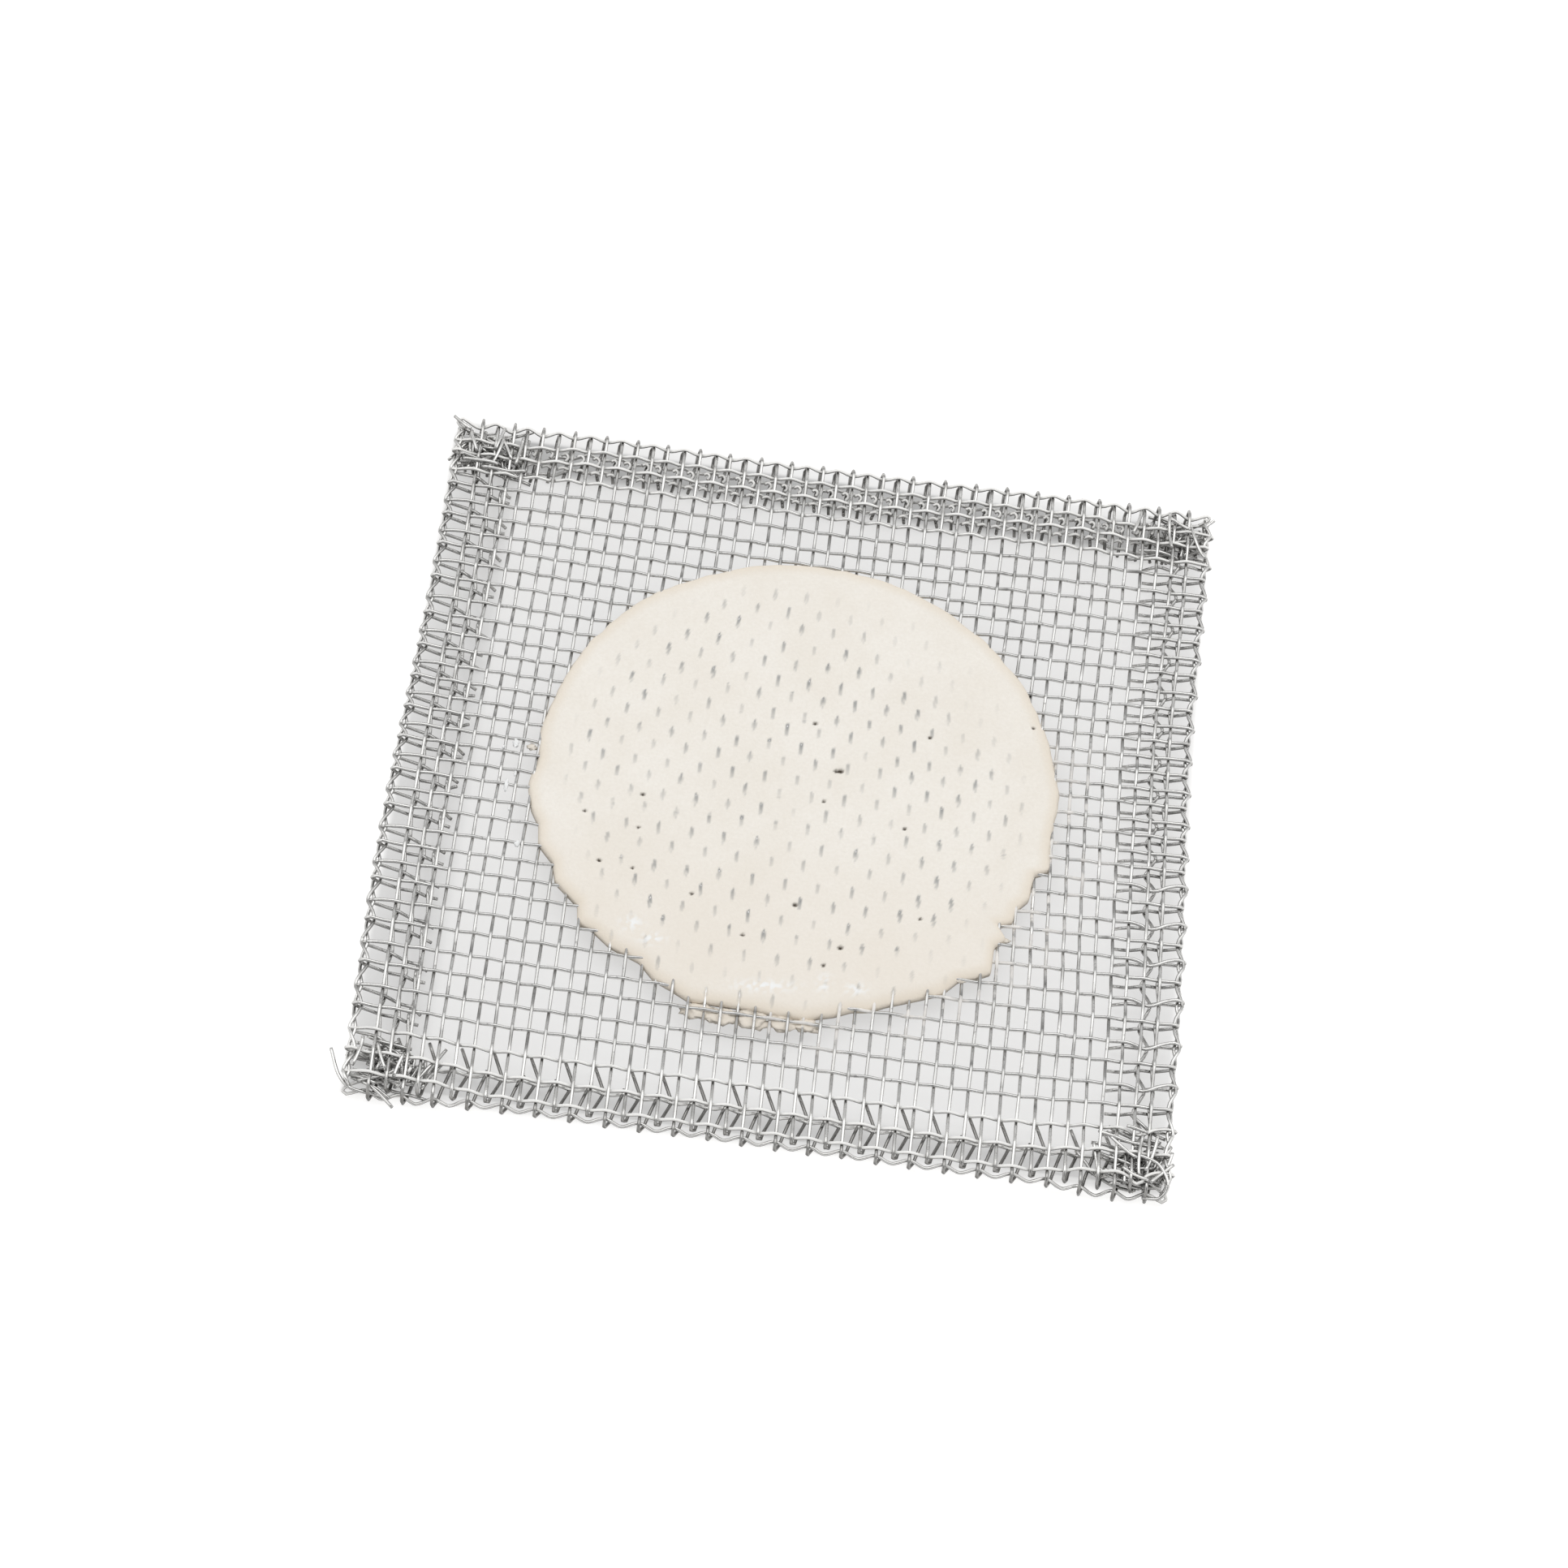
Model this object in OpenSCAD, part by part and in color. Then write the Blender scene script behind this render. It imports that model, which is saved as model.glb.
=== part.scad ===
// Wire gauze: a square of woven wire with its four hems folded under,
// and a round ceramic pad moulded through the middle of the weave.
// The sheet lies flat, face up: X runs along the weft rows, Y along the warps.
// The origin is under the middle of the sheet, on the plane that it rests on.

/* [Sheet] */
// Length of each side of the finished square
side = 125; // [110:1:140]
// Thickness of the wire
wire_d = 0.5; // [0.4:0.05:0.6]
// Distance between neighbouring warps, the wires that run along Y
warp_pitch = 2.54; // [2.3:0.02:2.8]
// Number of weft rows, the wires that run along X
weft_rows = 37; // [31:2:41]
// How much taller the spaces between rows grow towards the first and last row
row_spread = 0.36; // [0:0.02:0.5]
// How much every second space between rows is taller than its neighbours
row_alternation = 0.12; // [0:0.02:0.2]

/* [Hems] */
// Width of the strip that is folded under on each side
hem_width = 10.5; // [9:0.5:13]
// Number of wires that run along each folded strip
hem_wires = 3; // [2:1:4]
// Clearance between one layer of cloth and the next one folded under it
layer_gap = 0.05; // [0.05:0.05:0.3]
// Size of the bevel that stands for the bend of a wire at a fold
bend = 0.4; // [0.2:0.05:0.45]
// Length over which the top and bottom hems thicken towards the corners
corner_ramp = 12; // [8:1:20]

/* [Web] */
// Thickness of the web that holds the warps on top and the wefts below
web = 0.1; // [0.05:0.05:0.2]
// Number of web windows along X
web_bays_x = 1; // [1:1:4]
// Number of web windows along Y
web_bays_y = 2; // [1:1:4]

/* [Ceramic pad] */
// Diameter of the pad
pad_d = 83; // [76:1:88]
// How far the pad stands above the warps
pad_above = 0.15; // [0.1:0.05:0.5]
// How far the pad stands below the wefts
pad_below = 1; // [0.5:0.1:1.5]
// Offset of the pad's centre from the sheet's centre along X
pad_x = -0.25; // [-2:0.25:2]
// Offset of the pad's centre from the sheet's centre along Y
pad_y = 1.5; // [-2:0.25:2]

/* [Hidden] */

half = side / 2;
layer = 2 * wire_d + web;
level = layer + layer_gap;
face = web / 2;
lift = 3 * level + face + wire_d;
flap_end = half - hem_width;
web_end = half - 2 * wire_d;
row_inset = 1.5 * wire_d + layer_gap;
warps_per_half = floor((half - row_inset) / warp_pitch);
warps = [for (i = [-warps_per_half:warps_per_half]) i * warp_pitch];
spaces = weft_rows - 1;

// Place of a space between rows, from -1 at the first to 1 at the last
function along(k) = (2 * k + 1) / spaces - 1;
// Relative height of space k
function space(k) =
    1 + row_spread * pow(along(k), 2)
    + (k % 2 == 1 ? 1 : -1) * row_alternation * abs(along(k));
// Sum of the first k spaces
function spaces_before(k) = k == 0 ? 0 : spaces_before(k - 1) + space(k - 1);
// Place of row j along Y, the first row at the top edge
function row_y(j) =
    (half - row_inset) * (1 - 2 * spaces_before(j) / spaces_before(spaces));
// Distance of folded wire k from the middle of the sheet
function flap_place(k) = half - hem_width * (k + 0.5) / hem_wires;
// Evenly picked member m of the n + 1 that cut a row of count wires into n bays
function picked(m, n, count) = round(m * (count - 1) / n);

rows = [for (j = [0:spaces]) row_y(j)];
tie_rows = [for (m = [0:web_bays_y]) rows[picked(m, web_bays_y, weft_rows)]];
tie_warps = [for (m = [0:web_bays_x]) warps[picked(m, web_bays_x, len(warps))]];

// The top and bottom hems drop from the second level to the fourth at the corners,
// where they pass under the side hems
ramp_end = flap_end - wire_d;
ramp_start = ramp_end - corner_ramp;
function ramp_part(x) = min(1, max(0, (abs(x) - ramp_start) / corner_ramp));
function drop(x) = level * (1 + 2 * ramp_part(x));

// Inner side of a wire with both ends folded under, with the ends of its legs.
// reach is the furthest point of a fold, top and bottom are the outer faces
function legs(reach, top, bottom) = [
    [flap_end, bottom], [flap_end, bottom + wire_d],
    [reach - wire_d, bottom + wire_d], [reach - wire_d, top - wire_d],
    [-reach + wire_d, top - wire_d], [-reach + wire_d, bottom + wire_d],
    [-flap_end, bottom + wire_d], [-flap_end, bottom]
];

// Outline of a wire that folds tight against itself
function tight_fold(reach, top, bottom) = concat(
    [[-reach, bottom], [-reach, top], [reach, top], [reach, bottom]],
    legs(reach, top, bottom)
);

// Outline of a wire that folds round other layers, with its outer corners bevelled
function wide_fold(reach, top, bottom) = concat(
    [[-reach + bend, bottom], [-reach, bottom + bend]],
    [[-reach, top - bend], [-reach + bend, top]],
    [[reach - bend, top], [reach, top - bend]],
    [[reach, bottom + bend], [reach - bend, bottom]],
    legs(reach, top, bottom)
);

// Turns a flat outline in X and Z into a bar of the given width across Y at y
module across_y(y, width = wire_d) {
    translate([0, y + width / 2, 0]) rotate([90, 0, 0]) linear_extrude(width) children();
}

// Turns a flat outline in Y and Z into a bar of the given width across X at x
module across_x(x, width = wire_d) {
    translate([x - width / 2, 0, 0]) rotate([90, 0, 90]) linear_extrude(width) children();
}

// One warp: on top of the web, with a folded leg below the hem's web
module warp(x) {
    across_x(x) polygon(wide_fold(half, face + wire_d, -drop(x) - face - wire_d));
}

// One weft: below the web, with a folded leg above the side hem's web
module weft(y) {
    across_y(y) polygon(tight_fold(half, -face, -level + face));
}

// A wire along a side hem, which turns with the hem into the folded corners
module side_hem_warp(x) {
    across_x(x) polygon(tight_fold(half - wire_d - layer_gap, -level - face, -2 * level + face));
}

// Course of the top or bottom hem in X and Z, raised by rise, from its left fold,
// under the side hem, up to the second level, and down again to its right fold
function course(rise) = [
    [-half, -3 * level + rise], [-ramp_end, -3 * level + rise],
    [-ramp_start, -level + rise], [ramp_start, -level + rise],
    [ramp_end, -3 * level + rise], [half, -3 * level + rise]
];
last = len(course(0)) - 1;

// A wire along the top or bottom hem: it dips below the side hems at the corners,
// and folds back over itself there
module end_hem_weft(y) {
    lower = course(face);
    upper = course(face + wire_d);
    fold_top = -2 * level - face;
    fold_inner = fold_top - wire_d;
    across_y(y) polygon(concat(
        [[-flap_end, fold_inner], [-flap_end, fold_top], [-half, fold_top]],
        lower,
        [[half, fold_top], [flap_end, fold_top], [flap_end, fold_inner]],
        [[half - wire_d, fold_inner], [half - wire_d, upper[last].y]],
        [for (i = [last - 1:-1:1]) upper[i]],
        [[-half + wire_d, upper[0].y], [-half + wire_d, fold_inner]]
    ));
}

// Web of the sheet's face: strips between picked warps and picked wefts
module face_web() {
    for (y = tie_rows) across_y(y) square([2 * web_end, web], center = true);
    for (x = tie_warps) across_x(x) square([2 * web_end, web], center = true);
}

// Web of a hem: short strips that hold the wires along it to the picked legs.
// The outlines are drawn across the hem, on the side that sign gives
module hem_strip(sign, height) {
    near = flap_place(hem_wires - 1) - wire_d / 2;
    far = flap_place(0) + wire_d / 2;
    translate([sign * (near + far) / 2, height]) square([far - near, web], center = true);
}

// Every wire of the sheet, its middle plane at height 0
module weave() {
    for (x = warps) warp(x);
    for (y = rows) weft(y);
    for (sign = [-1, 1], k = [0:hem_wires - 1]) {
        side_hem_warp(sign * flap_place(k));
        end_hem_weft(sign * flap_place(k));
    }
    face_web();
    for (sign = [-1, 1]) {
        for (y = tie_rows) across_y(y) hem_strip(sign, -level);
        for (x = tie_warps) across_x(x) hem_strip(sign, -drop(x));
    }
}

module wire_sheet() {
    color("silver") translate([0, 0, lift]) weave();
}

// The straight part of every wire that passes through the pad
module wires_in_pad() {
    reach = pad_d / 2 + wire_d;
    for (x = warps) {
        if (abs(x - pad_x) < reach) {
            across_x(x) translate([-web_end, face]) square([2 * web_end, wire_d]);
        }
    }
    for (y = rows) {
        if (abs(y - pad_y) < reach) {
            across_y(y) translate([-web_end, -face - wire_d]) square([2 * web_end, wire_d]);
        }
    }
}

// The pad fills the weave, so the wires and the web are cut out of it
module ceramic_pad() {
    pad_bottom = -face - wire_d - pad_below;
    pad_height = layer + pad_above + pad_below;
    color("ivory") translate([0, 0, lift]) difference() {
        translate([pad_x, pad_y, pad_bottom]) cylinder(d = pad_d, h = pad_height, $fn = 96);
        wires_in_pad();
        face_web();
    }
}

wire_sheet();
ceramic_pad();
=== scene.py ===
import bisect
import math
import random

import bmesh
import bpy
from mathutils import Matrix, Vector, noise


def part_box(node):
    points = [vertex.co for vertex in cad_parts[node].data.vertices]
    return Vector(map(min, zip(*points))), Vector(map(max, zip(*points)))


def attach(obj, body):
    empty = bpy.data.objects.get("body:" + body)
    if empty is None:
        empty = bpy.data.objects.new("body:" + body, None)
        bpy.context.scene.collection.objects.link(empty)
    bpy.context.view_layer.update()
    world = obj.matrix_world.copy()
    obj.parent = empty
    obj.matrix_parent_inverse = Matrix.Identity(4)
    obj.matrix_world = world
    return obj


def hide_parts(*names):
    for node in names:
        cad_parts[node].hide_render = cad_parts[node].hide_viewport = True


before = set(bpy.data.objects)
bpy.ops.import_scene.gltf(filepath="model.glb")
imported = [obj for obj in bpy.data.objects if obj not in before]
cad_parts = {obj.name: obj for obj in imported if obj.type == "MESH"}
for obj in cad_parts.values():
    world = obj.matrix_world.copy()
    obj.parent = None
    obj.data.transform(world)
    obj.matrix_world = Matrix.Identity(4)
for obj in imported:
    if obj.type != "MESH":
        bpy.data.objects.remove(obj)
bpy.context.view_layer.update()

# %% [markdown]
# # A laboratory wire gauze with a ceramic centre
#
# A wire gauze is the square of woven wire that stands on a tripod above a burner. Its edges are
# folded under so that no sharp ends stick out, and a round cake of white ceramic is pressed
# into its middle, where it spreads the heat under a beaker.
#
# The engineering model is already loaded: two solids, `wire_sheet` and `ceramic_pad`. Here each
# is dressed in its visible form, in metres, in the model's own frame. X runs along the
# crosswise wires, Y along the lengthwise wires, Z is up.

sheet_low, sheet_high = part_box("wire_sheet")
pad_low, pad_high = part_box("ceramic_pad")
MM = 0.001


def in_mm(*points):
    return [round(v / MM, 2) for point in points for v in point]


print("wire sheet", in_mm(sheet_low, sheet_high))
print("ceramic pad", in_mm(pad_low, pad_high))

# %% [markdown]
# ## The camera comes first
#
# The view is settled first, so that every later render can be judged. The camera looks down
# steeply from in front. It is turned through an azimuth and an elevation, then rolled a little
# about its own line of sight. A long lens keeps the perspective gentle.

# %% Camera
look_at = Vector((-2.37 * MM, 0.51 * MM, sheet_high.z - 0.55 * MM))
view_azimuth = math.radians(-1.866)
view_height = math.radians(57.406)
view_roll = math.radians(9.077)
view_distance = 723.9 * MM

backward = Vector((
    math.sin(view_azimuth) * math.cos(view_height),
    -math.cos(view_azimuth) * math.cos(view_height),
    math.sin(view_height),
))
level_right = Vector((math.cos(view_azimuth), math.sin(view_azimuth), 0))
level_up = backward.cross(level_right)
camera_right = level_right * math.cos(view_roll) + level_up * math.sin(view_roll)
camera_up = level_up * math.cos(view_roll) - level_right * math.sin(view_roll)

camera_data = bpy.data.cameras.new("gauze_camera")
camera_data.sensor_width = 36
camera_data.lens = 105.54
camera_data.clip_start = 0.05
camera = bpy.data.objects.new("gauze_camera", camera_data)
bpy.context.collection.objects.link(camera)
turn = (camera_right, camera_up, backward)
for row in range(3):
    for column in range(3):
        camera.matrix_world[row][column] = turn[column][row]
camera.matrix_world.translation = look_at + backward * view_distance
bpy.context.scene.camera = camera
print("camera at", in_mm(camera.location))

# %% [markdown]
# ## Selecting one thing at a time
#
# Blender's operators act on whatever is selected. Loading the model leaves its solids
# selected, so each step here starts by selecting only the piece that it works on.

# %% A helper that selects one object
def only(piece):
    for other in bpy.context.selected_objects:
        other.select_set(False)
    piece.select_set(True)
    bpy.context.view_layer.objects.active = piece
    return piece


# %% [markdown]
# ## A sheet that isn't quite square
#
# A folded sheet of soft wire never has straight sides. Both long sides bow the same way, and
# the two ends belly out. Four small curves say how far each edge stands out from the ideal
# square, and the wires between are carried along in proportion. A low bulge and two slow waves
# move the middle as well.

# %% How each edge wanders
half = sheet_high.x


def hump(value, centre, width):
    return math.exp(-(((value - centre) / width) ** 2))


def sway(x, y):
    """How far the real sheet's point has moved from the ideal square's."""
    across = (x / half + 1) / 2
    along = (y / half + 1) / 2
    left = 0.2 + 1.15 * hump(y / MM, -22, 38)
    right = 0.1 - 1.1 * hump(y / MM, 16, 24) + 0.3 * hump(y / MM, -33, 12)
    top = 0.25 + 0.85 * ((x / MM + 20) / 76) ** 2
    bottom = 0.3 + 0.8 * hump(x / MM, 18, 45)
    dx = (-left * (1 - across) + right * across) * MM
    dy = (-bottom * (1 - along) + top * along) * MM
    a, b = x / half, y / half
    bulge_x = 0.40 + 0.35 * a + 0.1 * b - 0.15 * a * b - 0.2 * a * a
    bulge_y = -0.27 - 0.1 * a - 0.16 * a * b + 0.42 * a * a + 0.27 * b * b
    dx += bulge_x * (1 - min(abs(a), 1) ** 8) * MM
    dy += bulge_y * (1 - min(abs(b), 1) ** 8) * MM
    dx += 0.3 * MM * hump(x / MM, -55, 7) * hump(y / MM, -35, 25)
    dx += 0.12 * MM * math.sin(x / (9 * MM) + y / (17 * MM))
    dy += 0.14 * MM * math.sin(x / (13 * MM) + 2 * math.sin(y / (11 * MM)))
    return dx, dy


# %% [markdown]
# ## The cloth before it is folded
#
# Plain weave is a grid: lengthwise wires (the warp) stand side by side along X, and crosswise
# wires (the weft) lie in rows along Y. The loom's reed holds the warp, so its spacing is even.
# The rows are uneven: dense in the middle, open towards the two ends, with a little more room
# after every second one. A smooth curve gives that rhythm, and two rows are moved singly.

# %% Warp and row places
wire_radius = 0.27 * MM
warp_pitch = 2.54 * MM
warp_reach = 24
row_count = 38
row_curve = (58.81, 55.59, 1.73, 14.47, 1.33, -8.4)


def row_from_top(k):
    """How far row k lies from the top edge, in millimetres."""
    t = (2 * k - row_count + 1) / (row_count - 1)
    uneven = (-0.12 if k % 2 == 0 else 0.12) + 0.25
    uneven += 0.6 * hump(k, 4.6, 2.3) - 0.6 * hump(k, 9.5, 1.6)
    uneven += 0.5 * hump(k, 25.4, 1.6) - 0.35 * hump(k, 33, 2.5)
    return sum(size * t**power for power, size in enumerate(row_curve)) + uneven


rows = []
for k in range(row_count):
    seen_at = half - row_from_top(k) * MM
    rows.append(seen_at - sway(0, seen_at)[1])
rows[0] = 61.75 * MM
rows[36] -= 0.3 * MM
spaces = [(a - b) / MM for a, b in zip(rows, rows[1:])]
print(2 * warp_reach + 1, "warps,", len(rows), "rows")
print("rows spaced", round(min(spaces), 2), "to", round(max(spaces), 2), "mm")

# %% [markdown]
# ## Folding the cloth
#
# Modelling each folded wire by hand would take days. Instead the wires are laid out on a flat
# cloth, and one function carries any point of it to its place on the folded sheet: past the
# fold line it goes round a half circle and back underneath. The sides are folded first and the
# ends over them, so the corners are four layers thick and need a wider bend.

# %% The fold as a function
face_height = sheet_high.z - 0.55 * MM
fold_start = 61.1 * MM
fold_length = 2.2 * MM
top_fold = 61.6 * MM
loose_bend = 0.66 * MM
pressed_bend = 0.575 * MM
corner_bend = 1.7 * MM
edge_room = 0.45 * MM
flap_slope = 0.13
near_corner = (39.5 * MM, 51.5 * MM)
lowest = wire_radius + 0.02 * MM


def ease(value, low, high):
    """0 below low, 1 above high, smooth between."""
    part = min(max((value - low) / (high - low), 0), 1)
    return part * part * (3 - 2 * part)


def around(distance, height, bend, start=fold_start, square=1.0):
    """Carries a distance from the middle, and a height on the face, round one fold."""
    edge = half - fold_start + start - bend - edge_room
    past = distance - start
    if past <= 0:
        shift = (edge - start) * ease(distance, start - 20 * MM, start)
        return distance + shift, height
    if past < fold_length:
        angle = math.pi * past / fold_length
        out = math.sin(angle) ** square
        up = math.copysign(abs(math.cos(angle)) ** square, math.cos(angle))
        return edge + (bend + height) * out, (bend + height) * up - bend
    return edge - (past - fold_length), -2 * bend - height - flap_slope * (past - fold_length)


def place(u, v, w=0.0):
    """The folded place of the cloth's point u, v at height w above its middle plane."""
    near_end = ease(abs(v), *near_corner)
    side_bend = loose_bend + (pressed_bend - loose_bend) * near_end
    x, z = around(abs(u), w, side_bend)
    near_side = ease(x, *near_corner)
    end_bend = loose_bend + (corner_bend - loose_bend) * near_side
    end_fold = top_fold if v > 0 else fold_start
    y, z = around(abs(v), z, end_bend, end_fold, 1 - 0.5 * near_side)
    x = math.copysign(x, u)
    y = math.copysign(y, v)
    dx, dy = sway(x, y)
    return Vector((x + dx, y + dy, max(face_height + z, lowest)))


# %% [markdown]
# ## The crimp
#
# Each wire goes over one crossing and under the next. Steel wire is stiff, so its path lies
# somewhere between a sine wave and a zigzag. The heavy bends are in the warp. A few points per
# crossing are enough if they are close together near the crown.

# %% The wave of a woven wire
warp_crimp = 0.38 * MM
weft_crimp = 0.14 * MM
crown_points = (0.0, 0.14, 0.36, 0.64, 0.86)


def wave(phase, sharp=0.85):
    """The height of a woven wire: 1 at even crossings, -1 at odd ones."""
    return math.asin(sharp * math.cos(math.pi * phase)) / math.asin(sharp)


def steps(first, last):
    """Phases from the first crossing to the last one, dense at each crown."""
    count = round(last - first)
    phases = [first + k + part for k in range(count) for part in crown_points]
    return phases + [last]


def between(places, phase):
    """The place at a fractional crossing; places is a list of (phase, place) in order."""
    for (a, place_a), (b, place_b) in zip(places, places[1:]):
        if phase <= b:
            return place_a + (place_b - place_a) * (phase - a) / (b - a)
    return places[-1][1]


# %% [markdown]
# ## From a list of points to a wire
#
# A curve object with a round bevel is the natural way to make wire: it keeps its thickness
# round every bend. All wires of one kind share one curve object, which is then converted to a
# mesh. Eight sides are enough for so thin a wire.
#
# The mesh also carries five numbers for its material: a random tone for each wire, how deep a
# point is sunk in the weave (dirt and painted shade), how far inside the hem it is (painted
# shade), and how much painted highlight and painted shade its upper and lower sides take.

# %% Wires from paths
skyward = Vector((0, 0.35, 0.94))
wire_sides = 8


def give(mesh, name, values):
    """Stores one number on each vertex for the material to read."""
    mesh.attributes.new(name, "FLOAT", "POINT").data.foreach_set("value", values)


def spread_ends(path):
    """One point for each vertex: a ring round every point of the path, then the two caps."""
    return [p for p in path + path[:1] + path[-1:] for k in range(wire_sides)]


def low_ring(z):
    """1 where a woven wire dips under its neighbour, painted darker there for dirt and painted
    shade.
    """
    return hump((face_height - z) / MM, 0.42, 0.15)


def hem_shade_at(place_at):
    """1 on the ends of the warp wires that come back under the end hems and round the fold: painted
    shade.
    """
    far = abs(place_at.y)
    inside = ease(far, 52 * MM, 54 * MM) * ease(face_height - place_at.z, 0.6 * MM, 1.3 * MM)
    turning = 0.75 * ease(far, 61.5 * MM, 62.2 * MM)
    return max(inside, turning)


def rim_of_hem(place_at):
    """1 over the hems and 0 over the open mesh."""
    far = max(abs(place_at.x), abs(place_at.y))
    return ease(far, 51.5 * MM, 54 * MM)


def painted_highlight_at(vertex):
    """1 on the upper side of the topmost wires of the hems, where a painted highlight goes."""
    upward = ease(vertex.normal.dot(skyward), 0.0, 0.4)
    high = ease(vertex.co.z - face_height, -0.55 * MM, -0.05 * MM)
    high = max(high, ease(abs(vertex.co.x), 61 * MM, 61.5 * MM), 0.5)
    at_ends = 0.4 + 0.6 * ease(abs(vertex.co.y), 51.5 * MM, 53 * MM)
    return rim_of_hem(vertex.co) * upward * high * at_ends


def shade_at(vertex):
    """1 on the lower side of every wire of the hems, where painted shade goes."""
    downward = 1 - ease(vertex.normal.dot(skyward), -0.5, 0.2)
    return rim_of_hem(vertex.co) * downward


def triangle_count(piece):
    return sum(len(face.vertices) - 2 for face in piece.data.polygons)


def wires(name, paths, seed, dark_ends=False, highlighted=0.4):
    """One mesh of all the wires whose paths are given; highlighted scales their painted highlight.
    """
    curve = bpy.data.curves.new(name, "CURVE")
    curve.dimensions = "3D"
    curve.bevel_depth = wire_radius
    curve.bevel_resolution = 2
    curve.use_fill_caps = True
    for path in paths:
        spline = curve.splines.new("POLY")
        spline.points.add(len(path) - 1)
        spline.points.foreach_set("co", [c for p in path for c in (p.x, p.y, p.z, 1.0)])
    piece = bpy.data.objects.new(name, curve)
    bpy.context.collection.objects.link(piece)
    only(piece)
    bpy.ops.object.convert(target="MESH")
    bpy.ops.object.shade_smooth_by_angle(angle=math.radians(62))
    piece = bpy.context.view_layer.objects.active
    mesh = piece.data
    tones = random.Random(seed)
    rings = [spread_ends(path) for path in paths]
    give(mesh, "tone", [tone for ring in rings for tone in [tones.random()] * len(ring)])
    # Besides the tone: dirt and painted shade where wires dip, painted shade inside the hems, a
    # painted highlight on upper sides and painted shade on lower sides.
    give(mesh, "sunk", [low_ring(p.z) for ring in rings for p in ring])
    give(mesh, "depth", [hem_shade_at(v.co) if dark_ends else 0.0 for v in mesh.vertices])
    # A painted highlight on the upper sides of the hems' top wires, stronger for some kinds of
    # wire.
    give(mesh, "painted_highlight", [highlighted * painted_highlight_at(v) for v in mesh.vertices])
    give(mesh, "shade", [shade_at(v) for v in mesh.vertices])
    bpy.ops.object.mode_set(mode="EDIT")
    bpy.ops.mesh.select_all(action="SELECT")
    bpy.ops.mesh.remove_doubles(threshold=0.001 * MM)
    bpy.ops.object.mode_set(mode="OBJECT")
    print(name, len(paths), "wires,", triangle_count(piece), "triangles")
    return piece


# %% [markdown]
# ## The lengthwise wires
#
# Each warp wire climbs over a row and dives under the next. Past both ends it runs round the
# fold and back under the sheet, where its cut end lies loose. So it has a few more crossings
# than the face has rows: the hem's rows, then a free tail. The even and the odd ones stand out
# by different amounts at the fold, and end at different lengths.

# %% The hem's rows and the tails
top_hem = [66.3, 69.1]
bottom_hem = [62.5, 67.9]
top_tail = 70.6
bottom_tail = 72.7
row_places = [(-2.7, top_tail * MM), (-2, top_hem[1] * MM), (-1, top_hem[0] * MM)]
row_places += list(enumerate(rows))
row_places += [(38, -bottom_hem[0] * MM), (39, -bottom_hem[1] * MM), (40, -bottom_tail * MM)]
print("a warp wire crosses", len(row_places) - 2, "rows")

# %% One warp wire
def ramp(value, low, high):
    """0 below low, 1 above high and straight between; low and high are in millimetres."""
    return min(max((value / MM - low) / (high - low), 0), 1)


def lean(v, bends):
    """How far a wire leans aside at v; a bend is its size and where it begins and ends."""
    return sum(size * ramp(v, low, high) for size, low, high in bends) * MM


# The returning ends at the top lie to the left of the wire above them. At the bottom they lie
# to the right, and every second one comes back again.
top_bends = ((-0.5, 62.1, 63.5), (-0.45, 64.5, 68.5))
even_bends = ((0.7, 61.8, 63.6), (1.5, 64.3, 68.6), (-1.8, 68.6, 72.7))
odd_bends = ((1.0, 62.3, 63.6), (1.5, 64.2, 69.2))


def warp_path(n, dice):
    """The points of warp wire n, from its tail under the top edge to that under the bottom."""
    u = n * warp_pitch + dice.uniform(-0.07, 0.07) * MM
    if n < -20:
        u += 0.45 * MM
    drift = dice.uniform(-0.12, 0.12) * MM
    tip = dice.uniform(-0.45, 0.45) * MM
    even = n % 2 == 0
    top_loop = dice.uniform(*(0.55, 0.8) if even else (0.35, 0.6)) * MM
    bottom_loop = dice.uniform(*(-0.35, -0.1) if even else (0.3, 0.7)) * MM
    last = 39.9 if even else dice.uniform(39.2, 39.4)
    tail = [phase for phase in (39.2, 39.45, 39.7, 39.9) if phase <= last]
    points = []
    for phase in [-2.7] + steps(-2, 39) + tail:
        v = between(row_places, phase)
        height = -warp_crimp * wave(phase + n)
        height *= 1 - 0.3 * hump(phase, 1.5, 2) - 0.3 * hump(phase, 36.5, 1.3)
        height += top_loop * hump(phase, -0.5, 0.4) + bottom_loop * hump(phase, 37.7, 0.5)
        slip = drift * math.sin(phase / 5 + n)
        slip += lean(v, top_bends) + lean(-v, even_bends if even else odd_bends)
        if phase < -2 or phase > 39:
            slip += tip
        points.append(place(u + slip, v, height))
    return points


dice = random.Random(11)
warp_numbers = range(-warp_reach + 1, warp_reach)
warp_paths = [warp_path(n, dice) for n in warp_numbers]
warp_wires = wires("warp_wires", warp_paths, seed=21, dark_ends=True)

# %% [markdown]
# ## The crosswise wires
#
# The weft wires are straighter: they only nod a little over each warp wire, more in the end
# hems, where their upper sides also take a painted highlight. At the sides they too run round
# the fold, and end in short curled tails. On the right every second one slants, and loops out a
# little further.

# %% One weft wire
side_hem_left = [62.3, 66.7, 69.2, 71.1]
side_hem_right = [62.4, 66.0, 68.0]
left_tail = 72.7
right_tail = 73.8
edge_warp = 61.7
warp_places = [(-29, -left_tail * MM)]
warp_places += [(-25 - k, -side_hem_left[k] * MM) for k in range(3, -1, -1)]
warp_places += [(-24, -edge_warp * MM)]
warp_places += [(n, n * warp_pitch) for n in range(-23, 24)]
warp_places += [(24, edge_warp * MM)]
warp_places += [(25 + k, side_hem_right[k] * MM) for k in range(3)]
warp_places += [(29, right_tail * MM)]


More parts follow.
